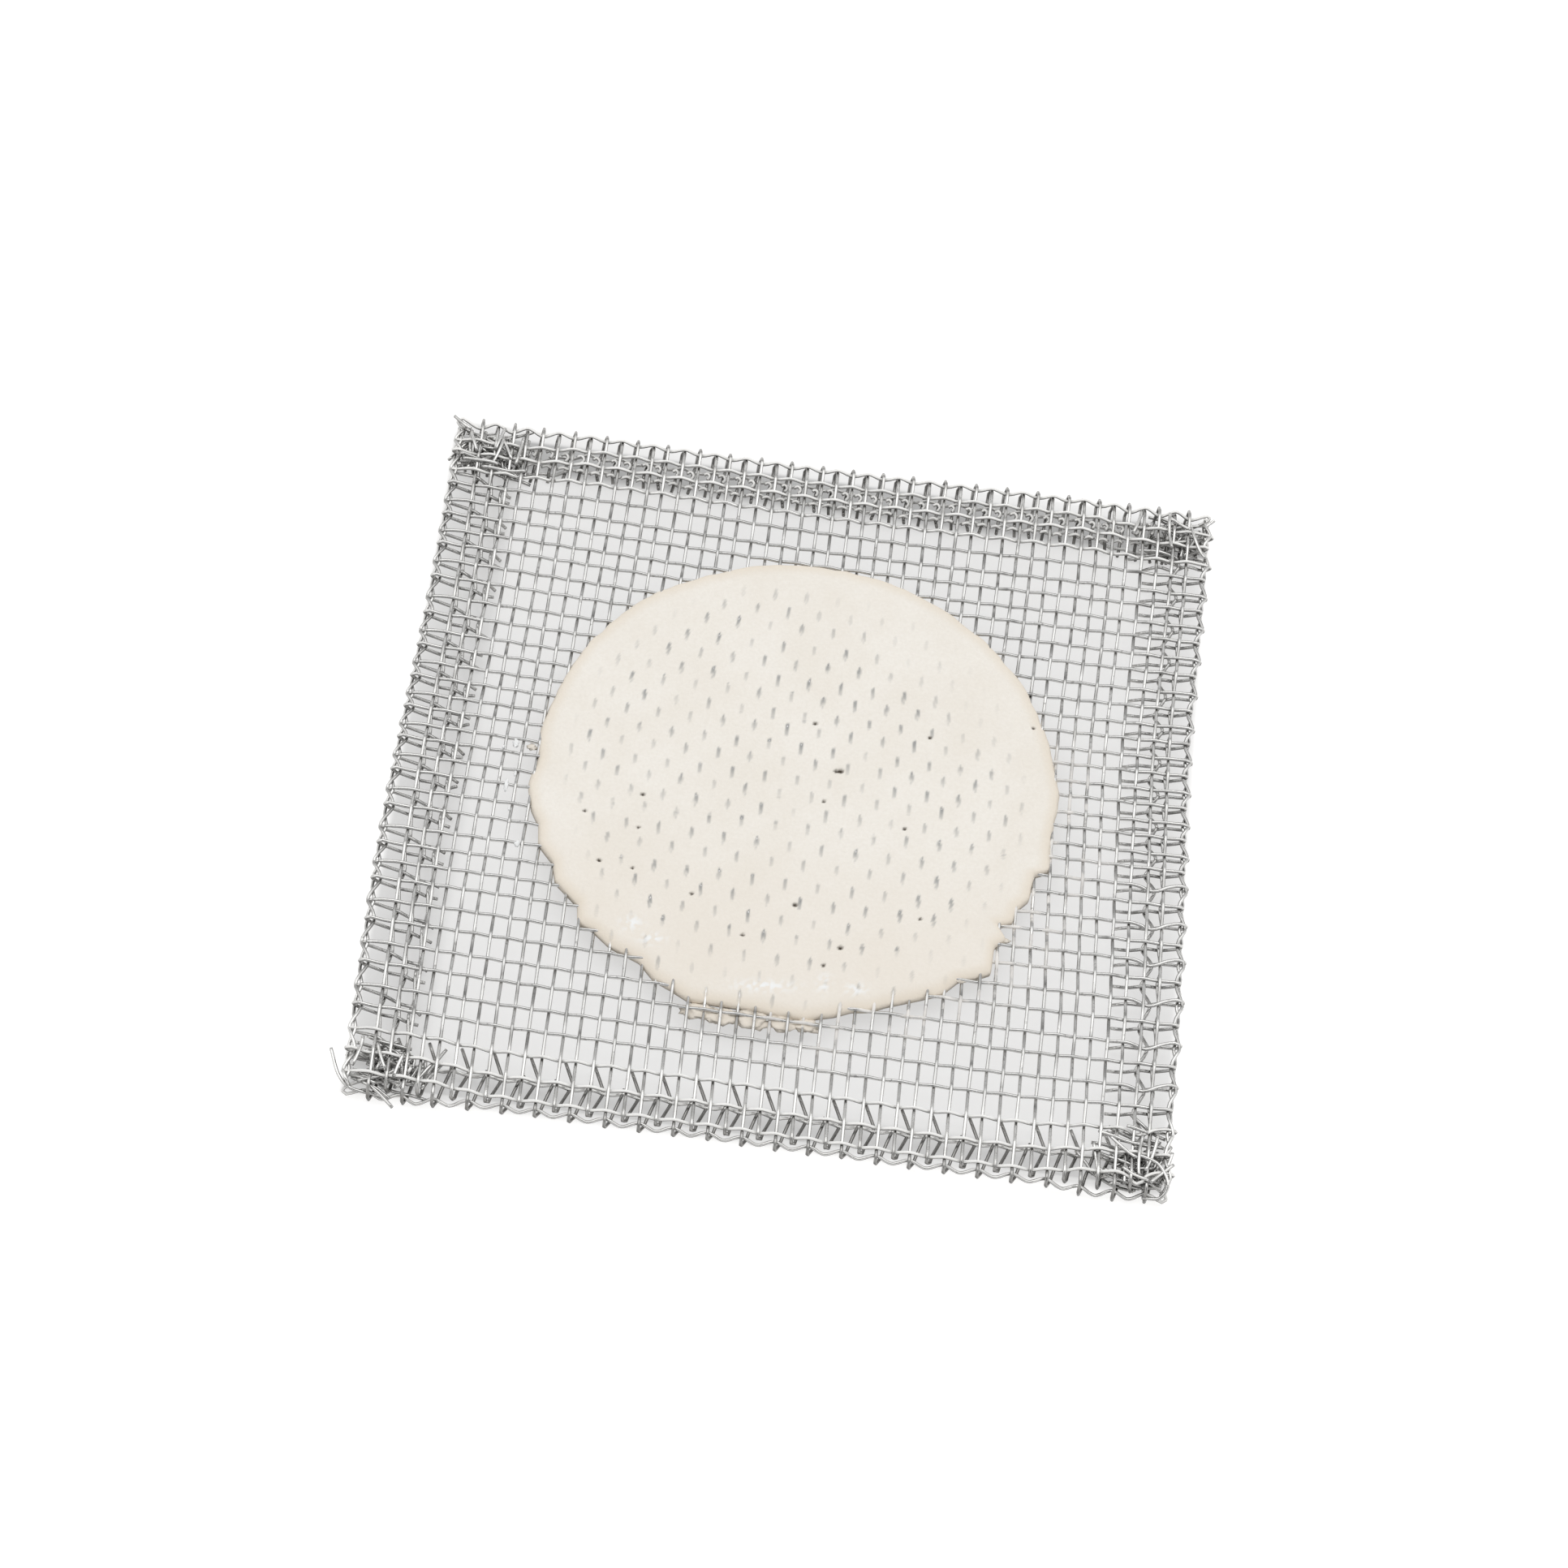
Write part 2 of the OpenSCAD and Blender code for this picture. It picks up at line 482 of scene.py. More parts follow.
def weft_path(j, dice):
    """The points of weft row j, from its tail under the left side to that under the right."""
    v = rows[j]
    odd = j % 2 == 1
    in_hem = j < 4 or j > 34
    right_loop, left_loop = (0.6, -0.15) if odd else (-0.2, 0.35)
    drift = dice.uniform(-0.1, 0.1) * MM
    curl = dice.uniform(-0.6, 0.9) * MM
    points = []
    for phase in [-28.9, -28.6, -28.25] + steps(-28, 28) + [28.4, 28.8]:
        u = between(warp_places, phase)
        height = weft_crimp * wave(phase + j, 0.3 if in_hem else 0.85)
        beyond = max(abs(u) - fold_start - fold_length, 0)
        slip = drift * math.sin(phase / 6 + j)
        slip -= 0.22 * beyond if u < 0 else 0.05 * beyond
        if phase < -28:
            height += curl * (-28 - phase)
        if not odd and u < 0:
            slip += 0.12 * beyond
        height *= 1 + 0.8 * ease(abs(phase), 23, 25)
        if in_hem:
            height *= 2.3
        if odd and v < -8 * MM:
            slip += (0.7 * ramp(u, 58, 61) - 0.8 * hump(u / MM, 56.8, 1.6)) * MM
        height += right_loop * MM * hump(phase, 24.4, 0.7)
        height += left_loop * MM * hump(phase, -24.4, 0.7)
        if j == 0:
            slip += 0.12 * MM * wave(phase + j)
        points.append(place(u, v + slip, height))
    return points


dice = random.Random(12)
weft_paths = [weft_path(j, dice) for j in range(row_count)]
weft_wires = wires("weft_wires", weft_paths, seed=22, highlighted=1.0)

# %% [markdown]
# ## The wires inside the side hems
#
# The folded strips carry lengthwise wires of their own. Two of them lie in the fold itself,
# where they swing in and out and give the side its scalloped outline. The others lie under the
# sheet, and are seen through its openings.

# %% Side hem wires
def side_hem_path(side, phase_at, u_at, swing, dice):
    """One lengthwise wire of a side hem, which swings in and out as it goes."""
    points = []
    for phase in steps(-1, 38):
        v = between(row_places, phase)
        ripple = wave(phase + phase_at)
        u = side * (u_at * MM + swing * MM * ripple) + dice.uniform(-0.03, 0.03) * MM
        points.append(place(u, v, -1.25 * warp_crimp * ripple))
    return points


dice = random.Random(13)
left_swings = (-0.45, -0.2, -0.2, -0.2)
right_swings = (-0.55, 0.3, -0.75)
side_wires = [(-1, -24, 61.45, -0.7), (1, 24, 61.5, -0.5)]
for k, (u_at, swing) in enumerate(zip(side_hem_left, left_swings)):
    side_wires.append((-1, -25 - k, u_at, swing))
for k, (u_at, swing) in enumerate(zip(side_hem_right, right_swings)):
    side_wires.append((1, 25 + k, u_at, swing))
side_hem_paths = [side_hem_path(*numbers, dice) for numbers in side_wires]
side_hem_wires = wires("side_hem_wires", side_hem_paths, seed=23)

# %% [markdown]
# ## The wires inside the end hems
#
# The two end hems hold crosswise wires in the same way. They stop short of the sides, where
# the side hems are already folded in.

# %% End hem wires
def end_hem_path(end, row, v_at, dice):
    """One crosswise wire of an end hem."""
    points = []
    for phase in steps(-26, 26):
        u = between(warp_places, phase)
        ripple = wave(phase + row, 0.3)
        v = end * v_at * MM + dice.uniform(-0.05, 0.05) * MM
        points.append(place(u, v, 3.0 * weft_crimp * ripple))
    return points


dice = random.Random(14)
end_hem_paths = [end_hem_path(1, -1 - k, v_at, dice) for k, v_at in enumerate(top_hem)]
end_hem_paths += [end_hem_path(-1, 38 + k, v_at, dice) for k, v_at in enumerate(bottom_hem)]
end_hem_wires = wires("end_hem_wires", end_hem_paths, seed=24, highlighted=1.2)

# %% [markdown]
# ## The tangle in the corners
#
# Four layers of cloth meet in each corner, and their wires end there in a tangle, still wavy
# from the weave. Modelling each would be guesswork, so a seeded generator scatters them along
# the two directions of the cloth, at all heights of the fold, with a few on the top.

# %% Loose ends in the corners
def loose_end(start, heading, length, dice):
    """A short cut end, slightly bent, that keeps the wave of the weave."""
    points = []
    bend = dice.uniform(-0.05, 0.05)
    rise = dice.uniform(-0.06, 0.06)
    shift = dice.uniform(0, 2)
    step, half_wave = 0.6, 2.7
    count = max(int(length / (step * MM)), 4)
    spot = Vector(start)
    for k in range(count + 1):
        wobble = 0.14 * MM * math.sin(math.pi * (k * step / half_wave + shift))
        points.append(Vector((spot.x, spot.y, max(spot.z + wobble, lowest))))
        spot += Vector((math.cos(heading), math.sin(heading), rise)) * length / count
        heading += bend
    return points


def corner_ends(side, end, count, on_top, dice):
    """Loose ends round one corner; the last few lie on top of the cloth."""
    paths = []
    for k in range(count):
        crosswise = dice.random() < 0.6
        length = dice.uniform(3.0, 7.5) * MM
        turn = dice.gauss(-0.12, 0.27)
        heading = (math.pi if side > 0 else 0) if crosswise else -end * math.pi / 2
        inward = Vector((dice.uniform(0.8, 6.5), dice.uniform(1.0, 9.5), 0)) * MM
        if not crosswise:
            inward = Vector((dice.uniform(0.8, 12.5), dice.uniform(1.0, 3.5), 0)) * MM
        x = side * (half - inward.x)
        y = end * (half - inward.y)
        dx, dy = sway(x, y)
        high = 4.5 * MM if k >= count - on_top else dice.uniform(0.5, 3.6) * MM
        paths.append(loose_end((x + dx, y + dy, high), heading + turn, length, dice))
    return paths


dice = random.Random(15)
corner_paths = []
for numbers in ((-1, 1, 56, 8), (1, 1, 36, 4), (1, -1, 54, 7), (-1, -1, 36, 3)):
    corner_paths += corner_ends(*numbers, dice)
print(len(corner_paths), "loose ends")

# %% [markdown]
# ## Ends that stick out
#
# A few ends escaped the folding: a long one curls up past the lower left corner, and short
# ones stand out at the others. They are drawn one by one as short smooth runs of points.

# %% Stray ends
def smooth_run(corners, count):
    """A smooth wire through a few given places, in millimetres from the sheet's middle."""
    spots = [Vector(c) * MM for c in corners]
    spots = [2 * spots[0] - spots[1]] + spots + [2 * spots[-1] - spots[-2]]
    points = []
    for a, b, c, d in zip(spots, spots[1:], spots[2:], spots[3:]):
        for k in range(count):
            t = k / count
            points.append(0.5 * (2 * b + (c - a) * t + (2 * a - 5 * b + 4 * c - d) * t**2
                                 + (3 * b - a - 3 * c + d) * t**3))
    return points + [spots[-2]]


# How many points between two places, then the places.
stray_runs = (
    (12, (-57.5, -62.6, 2.0), (-61.4, -62.4, 2.6), (-63.6, -60.6, 3.0), (-65.4, -56.4, 3.2)),
    (5, (-60.4, 61.0, 4.3), (-61.9, 61.9, 4.4), (-63.4, 63.2, 4.2)),
    (5, (61.3, 61.2, 3.6), (62.4, 62.2, 3.7), (63.0, 62.7, 3.9)),
    (6, (60.6, -60.9, 2.8), (61.9, -58.6, 3.6), (62.6, -56.0, 4.0)),
    (7, (57.6, -57.4, 4.6), (60.6, -58.6, 4.5), (62.2, -61.4, 4.0), (61.2, -63.4, 3.0),
     (58.6, -63.3, 2.2)),
)
stray_paths = [smooth_run(corners, count) for count, *corners in stray_runs]
stray_wires = wires("stray_wires", corner_paths + stray_paths, seed=25)

# %% [markdown]
# ## Curled ends in the top hem
#
# Along the top hem the cut ends curl up against the face, one beside each lengthwise wire, in
# two rows between the crosswise wires. Their upper sides take a strong painted highlight, which
# makes the hem look knotted. They are short runs of a few points, shifted and scaled a little
# by a seeded generator.

# %% Curled ends
hook = [(0.15, -0.75, 2.95), (0.55, -0.15, 3.25), (0.1, 0.4, 3.4), (-0.55, 0.15, 3.25)]
stroke = [(-0.95, -0.2, 3.05), (0.0, 0.1, 3.3), (0.85, -0.1, 3.05)]


def curled_end(u, v, form, dice):
    """One curled end round a place of the face, drawn after a form in millimetres."""
    dx, dy = sway(u, v)
    centre = Vector((u + dx, v + dy, 0)) / MM
    centre += Vector([dice.uniform(-most, most) for most in (0.3, 0.15, 0.1)])
    grown = dice.uniform(0.8, 1.2)
    return smooth_run([centre + Vector((x * grown, y * grown, z)) for x, y, z in form], 3)


dice = random.Random(16)
curled_paths = []
for n in range(-21, 22):
    u = (n + 0.55) * warp_pitch
    curled_paths.append(curled_end(u, 0.5 * (rows[1] + rows[2]) + 0.55 * MM, hook, dice))
    curled_paths.append(curled_end(u, 0.55 * rows[2] + 0.45 * rows[3] + 1.05 * MM, stroke, dice))
curled_wires = wires("curled_wires", curled_paths, seed=26, highlighted=2.0)
print("rows of the top hem", [round(row / MM, 2) for row in rows[:4]])

# %% [markdown]
# ## The ceramic disc
#
# The ceramic is a flat cake of paste, pressed through the cloth from both sides and fired. A
# plain cylinder can't show how the wires come through, so its top is a fine grid bent into a
# disc. Its little faces are even everywhere, with no crowded pole in the middle.
#
# The upper half of the rim is smooth and almost round. The lower half broke off along the
# cells of the weave, so it runs in short straight pieces from one corner to the next.

# %% The rim
pad_centre = Vector(((pad_low.x + pad_high.x) / 2, (pad_low.y + pad_high.y) / 2, 0))
pad_radius = (pad_high.x - pad_low.x) / 2

# Corners of the broken lower rim, in millimetres, read along it from left to right.
broken_corners = [
    (-42.0, -6.7), (-41.2, -10.1), (-39.6, -13.0), (-39.2, -16.4), (-36.5, -19.5), (-35.8, -22.8),
    (-31.8, -26.5), (-31.4, -29.6), (-29.0, -30.5), (-26.0, -33.0), (-21.2, -35.0), (-18.6, -37.8),
    (-16.0, -39.0), (-13.0, -40.6), (-4.0, -40.8), (1.0, -41.2), (5.0, -41.3), (9.5, -40.0),
    (12.0, -38.8), (15.0, -38.3), (17.0, -37.2), (22.5, -35.0), (25.5, -33.8), (28.0, -31.0),
    (30.5, -30.2), (32.8, -29.0), (32.9, -25.8), (33.0, -24.3), (34.8, -22.7), (33.2, -20.5),
    (35.4, -19.5), (36.0, -17.0), (37.7, -15.0), (38.3, -10.4), (40.5, -9.3),
]
broken_corners = [Vector((x, y, 0)) * MM - pad_centre for x, y in broken_corners]
broken_angles = [math.degrees(math.atan2(corner.y, corner.x)) for corner in broken_corners]


def broken_reach(degrees):
    """Where a ray from the middle meets the straight piece of rim between two corners."""
    k = min(max(bisect.bisect(broken_angles, degrees), 1), len(broken_angles) - 1)
    part = (degrees - broken_angles[k - 1]) / (broken_angles[k] - broken_angles[k - 1])
    part = min(max(part, 0), 1)
    return broken_corners[k - 1].lerp(broken_corners[k], part).length


def smooth_reach(angle):
    """The unbroken rim: almost round."""
    spot = Vector((math.cos(angle), math.sin(angle), 0))
    uneven = 0.35 * noise.noise(spot * 6) + 0.25 * noise.noise(spot * 17)
    return pad_radius + (uneven - 0.3) * MM


rim_steps = 1440
rim_table = []
for k in range(rim_steps):
    degrees = k * 360 / rim_steps - 180
    share = ease(degrees, -177, -169) * (1 - ease(degrees, -15, -10))
    reach = smooth_reach(math.radians(degrees))
    rim_table.append(reach + share * (broken_reach(degrees) - reach))
beside = (-1, 0, 1)
rim_table = [sum(rim_table[(k + i) % rim_steps] for i in beside) / 3 for k in range(rim_steps)]


def rim_at(angle):
    """The disc's radius in this direction."""
    place_in = (math.degrees(angle) + 180) * rim_steps / 360
    k = int(place_in)
    part = place_in - k
    return rim_table[k % rim_steps] * (1 - part) + rim_table[(k + 1) % rim_steps] * part


print("rim from", round(min(rim_table) / MM, 1), "to", round(max(rim_table) / MM, 1), "mm")

# %% A grid bent into a disc
def disc_grid(name, count):
    """A grid whose square is bent into the disc's outline."""
    bpy.ops.mesh.primitive_grid_add(x_subdivisions=count, y_subdivisions=count, size=2)
    piece = only(bpy.context.object)
    piece.name = name
    for vertex in piece.data.vertices:
        a, b = vertex.co.x, vertex.co.y
        x = a * math.sqrt(1 - b * b / 2)
        y = b * math.sqrt(1 - a * a / 2)
        out = math.hypot(x, y)
        rim = rim_at(math.atan2(y, x))
        reach = pad_radius + (rim - pad_radius) * out ** 6
        vertex.co = pad_centre + Vector((x, y, 0)) * reach
    return piece


# %% [markdown]
# ## The height of its top
#
# Over most of the disc the paste only just covers the cloth, and the crowns of the warp wires
# show through it as short grey dashes. Towards the rim, and in the upper right, it hides them.
# Along the lower edge it thins out and the wires come up through it.

# %% Height of the ceramic
thick_top = 4.69 * MM
thin_top = 4.625 * MM


def show_through(x, y):
    """1 where the crowns show clearly, 0 where the ceramic hides them."""
    out = math.hypot(x, y)
    shown = 1 - ease(out, 33 * MM, 38 * MM)
    upper_right = ease(0.8 * x + y, 26 * MM, 40 * MM)
    shown *= 1 - 0.8 * upper_right
    patch = noise.noise(Vector((x, y, 5 * MM)) / (9 * MM))
    return min(max(shown * (0.8 + 0.5 * patch), 0), 1)


on_face = slice(11, 197)
face_runs = {}
crowns = {}
for n, path in zip(warp_numbers, warp_paths):
    run = [(-p.y, p.x, p.z) for p in path[on_face]]
    face_runs[n] = run
    crowns[n] = [b[0] for a, b, c in zip(run, run[1:], run[2:]) if b[2] > max(a[2], c[2])]
print("the middle warp wire has", len(crowns[0]), "crowns")


def from_crown(n, y):
    """How far a point lies above (+) or below (-) the nearest crown of warp wire n."""
    return min((y + crown for crown in crowns[n]), key=abs)


def warp_under(x, y):
    """The number of the nearest warp wire, and its place across beside this point."""
    n = min(max(round(x / warp_pitch), -warp_reach + 1), warp_reach - 1)
    run = face_runs[n]
    k = min(max(bisect.bisect(run, (-y,)), 1), len(run) - 1)
    a, b = run[k - 1], run[k]
    part = (-y - a[0]) / (b[0] - a[0])
    return n, a[1] + (b[1] - a[1]) * part


# %% [markdown]
# ## Pits and scrapes
#
# Bubbles in the paste burst and left small pits, and along the lower edge the surface was
# scraped white. Both are listed in millimetres from the disc's middle.

# %% Pits and scrapes
# A pit is its place and size, a scrape its place, width and height.
pits = (
    (1.65, 10.7, 0.5), (20.0, 10.9, 0.45), (6.5, 2.4, 0.7), (-23.9, -6.7, 0.5),
    (-32.5, -11.1, 0.42), (-29.2, -19.7, 0.5), (-23.9, -12.8, 0.4), (4.4, -3.6, 0.4),
    (17.5, -6.7, 0.45), (-14.3, -23.5, 0.45), (1.8, -23.1, 0.6), (-5.7, -29.7, 0.45),
    (9.5, -29.7, 0.6), (7.2, -33.2, 0.45), (36.3, 15.2, 0.38), (-23.9, -20.3, 0.38),
    (21.3, -22.7, 0.38), (5.8, 2.3, 0.55),
)
scrapes = (
    (-1.4, -38.2, 4.5, 1.0), (7.6, -36.4, 1.0, 1.6), (12.6, -36.7, 1.6, 1.0),
    (-19.4, -32.5, 1.8, 1.0), (-22.9, -30.2, 1.6, 1.2),
)


def pit_at(x, y):
    """1 in the middle of a pit and 0 outside."""
    covers = [0.0]
    for px, py, size in pits:
        gap = math.hypot(x - px * MM, (y - py * MM) * 1.2)
        covers.append(1 - ease(gap, 0.35 * size * MM, size * MM))
    return max(covers)


def scrape_at(x, y):
    """1 in the middle of a scrape, fading beside it; x and y are in millimetres."""
    return max(
        hump(x, sx, wide) * hump(y, sy + 0.12 * (x - sx), tall) for sx, sy, wide, tall in scrapes
    )


print(len(pits), "pits and", len(scrapes), "scrapes")

# %% [markdown]
# ## Shaping the top
#
# One pass over the vertices gives each its height, and four numbers for the material: the grey
# film over a crown, the pit, the tan rim and the scrape. The film is shaped like a leaf, a
# little below each crown, and each crown has its own luck in how clearly it shows. Painted
# shade makes the film darker towards its upper end, and on some crowns a painted highlight
# leaves a thin lighter line near its lower end.

# %% Helpers for the disc's vertices
def from_centre(vertex):
    """A vertex's place from the disc's middle, and how far inside the rim it lies."""
    x, y = vertex.co.x - pad_centre.x, vertex.co.y - pad_centre.y
    return x, y, max(rim_at(math.atan2(y, x)) - math.hypot(x, y), 0)


def rim_mark(inside):
    """1 at the rim and 0 further in, where the ceramic isn't tan any more."""
    return 1 - ease(inside, 0.3 * MM, 2.6 * MM)


def give_all(mesh, marks):
    """Stores the four numbers of every vertex that the ceramic's material reads."""
    for name, values in zip(("film", "pit", "rim", "scrape"), zip(*marks)):
        give(mesh, name, values)


def rounding(inside, width):
    """Rises from 0 at the rim to 1 along a quarter circle of this width."""
    part = max(1 - inside / width, 0)
    return math.sqrt(max(1 - part * part, 0))


# %% Shape of the top
def shape_top(piece):
    """Gives every vertex of the disc its height, and marks what its material will need."""
    marks = []
    luck = {}
    dice = random.Random(31)
    for vertex in piece.data.vertices:
        x, y, inside = from_centre(vertex)
        shown = show_through(x, y)
        n, wire_x = warp_under(vertex.co.x, vertex.co.y)
        crown = (n, round(vertex.co.y / (5 * MM)))
        if crown not in luck:
            luck[crown] = dice.random()
        beside = abs(vertex.co.x - wire_x)
        spot = Vector((vertex.co.x, vertex.co.y, 0))
        height = thick_top - (thick_top - thin_top) * shown
        height += 0.05 * MM * (luck[crown] - 0.45) * hump(beside, 0, 0.6 * MM) * shown
        height += 0.02 * MM * noise.noise(spot / (4 * MM))
        height += 0.008 * MM * noise.noise(spot / (0.9 * MM))
        low_side = ease(-y - 0.5 * abs(x), 4 * MM, 30 * MM)
        rim_width = (0.9 + 2.6 * low_side) * MM
        rim_height = (4.0 - 0.35 * low_side) * MM
        height = rim_height + (height - rim_height) * rounding(inside, rim_width)
        pit = pit_at(x, y)
        height -= 0.35 * MM * pit
        vertex.co.z = height
        along = from_crown(n, vertex.co.y) / MM
        length = 1.55 - 0.5 * luck[crown]
        leaf = 1 - ((along + 0.75) / length) ** 2 - (beside / (0.36 * MM)) ** 2
        # The film grows darker towards its upper end: painted shade of the wire's far slope.
        film = ease(leaf, 0.0, 0.6) * (0.78 + 0.32 * along / length)
        # On some crowns a thin lighter line near the lower end is a painted highlight.
        if luck[crown] < 0.4:
            film *= 1 - 0.6 * hump(along, -1.3, 0.4) * hump(beside / MM, 0, 0.12)
        low_film = 0.6 * low_side * (1 - ease(inside, 4 * MM, 7 * MM))
        film *= min(1.25 * shown + low_film, 1) * (1.15 - 0.75 * luck[crown] ** 1.5)
        scraped = scrape_at(x / MM, y / MM) * ease(noise.noise(spot / (0.8 * MM)), -0.1, 0.15)
        marks.append((film, pit, rim_mark(inside), scraped))
    give_all(piece.data, marks)


grid_count = 290
pad_top = disc_grid("ceramic_top", grid_count)
shape_top(pad_top)

# %% [markdown]
# ## Closing the disc's side
#
# The grid's border is extruded down in short steps, drawn in a little at each one, so that the
# side is slightly rounded. The last ring is filled with a single face.

# %% Side of the disc
def close_side(piece, ring_steps):
    """Extrudes the open border by each (height, inset) and fills the last ring."""
    mesh = piece.data
    grid = bmesh.new()
    grid.from_mesh(mesh)
    border = [edge for edge in grid.edges if edge.is_boundary]
    for height, inset in ring_steps:
        made = bmesh.ops.extrude_edge_only(grid, edges=border)
        ring = [g for g in made["geom"] if isinstance(g, bmesh.types.BMVert)]
        border = [g for g in made["geom"] if isinstance(g, bmesh.types.BMEdge)]
        border = [edge for edge in border if edge.is_boundary]
        for vertex in ring:
            flat = Vector((vertex.co.x, vertex.co.y, 0)) - pad_centre
            flat *= 1 - inset / flat.length
            vertex.co = Vector((pad_centre.x + flat.x, pad_centre.y + flat.y, height))
    bmesh.ops.contextual_create(grid, geom=border)
    bmesh.ops.recalc_face_normals(grid, faces=grid.faces)
    grid.to_mesh(mesh)
    grid.free()
    only(piece)
    bpy.ops.object.shade_smooth_by_angle(angle=math.radians(50))


side_steps = [(3.6 * MM, 0.0), (3.2 * MM, 0.05 * MM), (2.9 * MM, 0.3 * MM), (2.8 * MM, 0.8 * MM)]
close_side(pad_top, side_steps)
print("ceramic top", triangle_count(pad_top), "triangles")

# %% [markdown]
# ## The underside
#
# The underside is seen only when the gauze is turned over, but it is finished all the same: a
# second, coarser grid, with the cloth's pattern just showing in it.

# %% Underside of the disc
under_count = 150
pad_under = disc_grid("ceramic_underside", under_count)


def shape_under(piece):
    """Gives every vertex of the underside its height and its marks."""
    marks = []
    for vertex in piece.data.vertices:
        x, y, inside = from_centre(vertex)
        spot = Vector((vertex.co.x, vertex.co.y, 9 * MM))
        height = pad_low.z + 0.05 * MM + 0.05 * MM * noise.noise(spot / (5 * MM))
        height += 0.9 * MM * (1 - rounding(inside, 1.2 * MM))
        near = hump(vertex.co.x, warp_under(vertex.co.x, vertex.co.y)[1], 0.5 * MM)
        near *= 0.5 + 0.5 * math.sin(vertex.co.y / (0.9 * MM))
        marks.append((0.35 * near * show_through(x, y), 0.0, rim_mark(inside), 0.0))
        flat = pad_centre + 0.99 * Vector((x, y, 0))
        vertex.co = (flat.x, flat.y, height + 0.05 * MM * near)
    give_all(piece.data, marks)


shape_under(pad_under)
close_side(pad_under, [(3.5 * MM, 0.0)])
print("ceramic underside", triangle_count(pad_under), "triangles")

# %% [markdown]
# ## Squeezed paste and crumbs
#
# Along the lower rim the paste of the underside was squeezed forward between the wires, and a
# few crumbs of it stuck to the cloth on the left. Each is a small sphere pressed flat and
# roughened with a little noise.

# %% Small lumps
def lump(x, y, z, wide, long, thick, seed):
    bpy.ops.mesh.primitive_ico_sphere_add(subdivisions=3, radius=1)
    piece = only(bpy.context.object)
    piece.name = "paste_lump"
    for vertex in piece.data.vertices:
        spot = vertex.co.copy()
        spot *= 1 + 0.6 * noise.noise(spot * 2.1 + Vector((seed, 0, 0)))
        vertex.co = Vector((x + spot.x * wide, y + spot.y * long, z + spot.z * thick)) * MM
    return piece


# Place, then half the size along X, Y and Z, in millimetres.
lumps = [
    (-11.5, -42.0, 3.5, 2.3, 1.3, 0.45), (-7.6, -42.4, 3.45, 2.5, 1.4, 0.45),
    (-3.0, -42.3, 3.5, 2.5, 1.5, 0.45), (1.6, -42.3, 3.45, 2.4, 1.3, 0.45),
    (5.6, -42.0, 3.45, 2.0, 1.1, 0.45), (34.2, -22.7, 3.9, 1.0, 0.5, 0.3),
    (30.6, -29.0, 4.0, 1.0, 0.4, 0.3), (28.0, -30.9, 4.0, 0.9, 0.35, 0.3),
    (-42.4, 1.4, 3.6, 0.8, 0.5, 0.3),
]
crumbs = [
    (-45.0, 1.3, 4.35, 0.45, 0.75, 0.30), (-45.5, -6.6, 4.30, 0.30, 1.1, 0.30),
    (-42.4, -17.0, 4.35, 0.40, 0.55, 0.28), (-44.4, -4.3, 4.35, 0.2, 0.5, 0.2),
    (-44.5, -10.9, 4.4, 0.2, 0.35, 0.2), (-46.9, 0.3, 4.4, 0.18, 0.3, 0.18),
]
pieces = [lump(*numbers, seed=k) for k, numbers in enumerate(lumps + crumbs)]
for k, piece in enumerate(pieces):
    tan_or_white = (0.0, 0.0, 0.5, 0.0) if k < len(lumps) else (0.0, 0.0, 0.0, 1.0)
    give_all(piece.data, [tan_or_white] * len(piece.data.vertices))
only(pieces[0])
for piece in pieces:
    piece.select_set(True)
bpy.ops.object.join()
paste_lumps = bpy.context.object
paste_lumps.name = "paste_lumps"
bpy.ops.object.shade_smooth()
print(len(lumps), "lumps and", len(crumbs), "crumbs")

# %% [markdown]
# ## Building a material from small parts
#
# A material is a chain of simple steps: a pattern, a range, a mix of two colours. A few
# helpers make each step one line. Where a value is wanted, they take a number or the output of
# another node, which also knows the node tree that it belongs to. They serve the world as well.

# %% Helpers for building a material
def new_material(name, **settings):
    """A material with one surface shader; the settings are values of the shader's sockets."""
    material = bpy.data.materials.new(name)
    material.use_nodes = True
    tree = material.node_tree
    tree.nodes.clear()
    output = add(tree, "ShaderNodeOutputMaterial")
    shader = add(tree, "ShaderNodeBsdfPrincipled", **settings)
    join(shader.outputs["BSDF"], output.inputs["Surface"])
    return material, tree, shader


def add(tree, kind, **settings):
    """A node with its properties, or the values of its sockets, set by name."""
    node = tree.nodes.new(kind)
    for key, value in settings.items():
        if hasattr(node, key):
            setattr(node, key, value)
        else:
            node.inputs[key.replace("_", " ")].default_value = value
    return node


def join(value, socket):
    """Links a node's output to a socket, or writes a plain value in it."""
    if isinstance(value, bpy.types.NodeSocket):
        socket.id_data.links.new(value, socket)
    else:
        socket.default_value = value


def combine(operation, result, *others):
    """The sum, product, largest or smallest of some values, taken two at a time."""
    for other in others:
        node = add(result.id_data, "ShaderNodeMath", operation=operation)
        join(result, node.inputs[0])
        join(other, node.inputs[1])
        result = node.outputs[0]
    return result


def carry(source, low, high, first, last, smooth=False):
    """Goes from first to last while the source goes from low to high."""
    node = add(source.id_data, "ShaderNodeMapRange", clamp=True)
    if smooth:
        node.interpolation_type = "SMOOTHSTEP"
    join(source, node.inputs["Value"])
    for name, value in (("From Min", low), ("From Max", high), ("To Min", first), ("To Max", last)):
        join(value, node.inputs[name])
    return node.outputs["Result"]


def vector_step(operation, vector, other=(0, 0, 0), answer="Vector"):
    node = add(vector.id_data, "ShaderNodeVectorMath", operation=operation)
    join(vector, node.inputs[0])
    join(other, node.inputs[1])
    return node.outputs[answer]


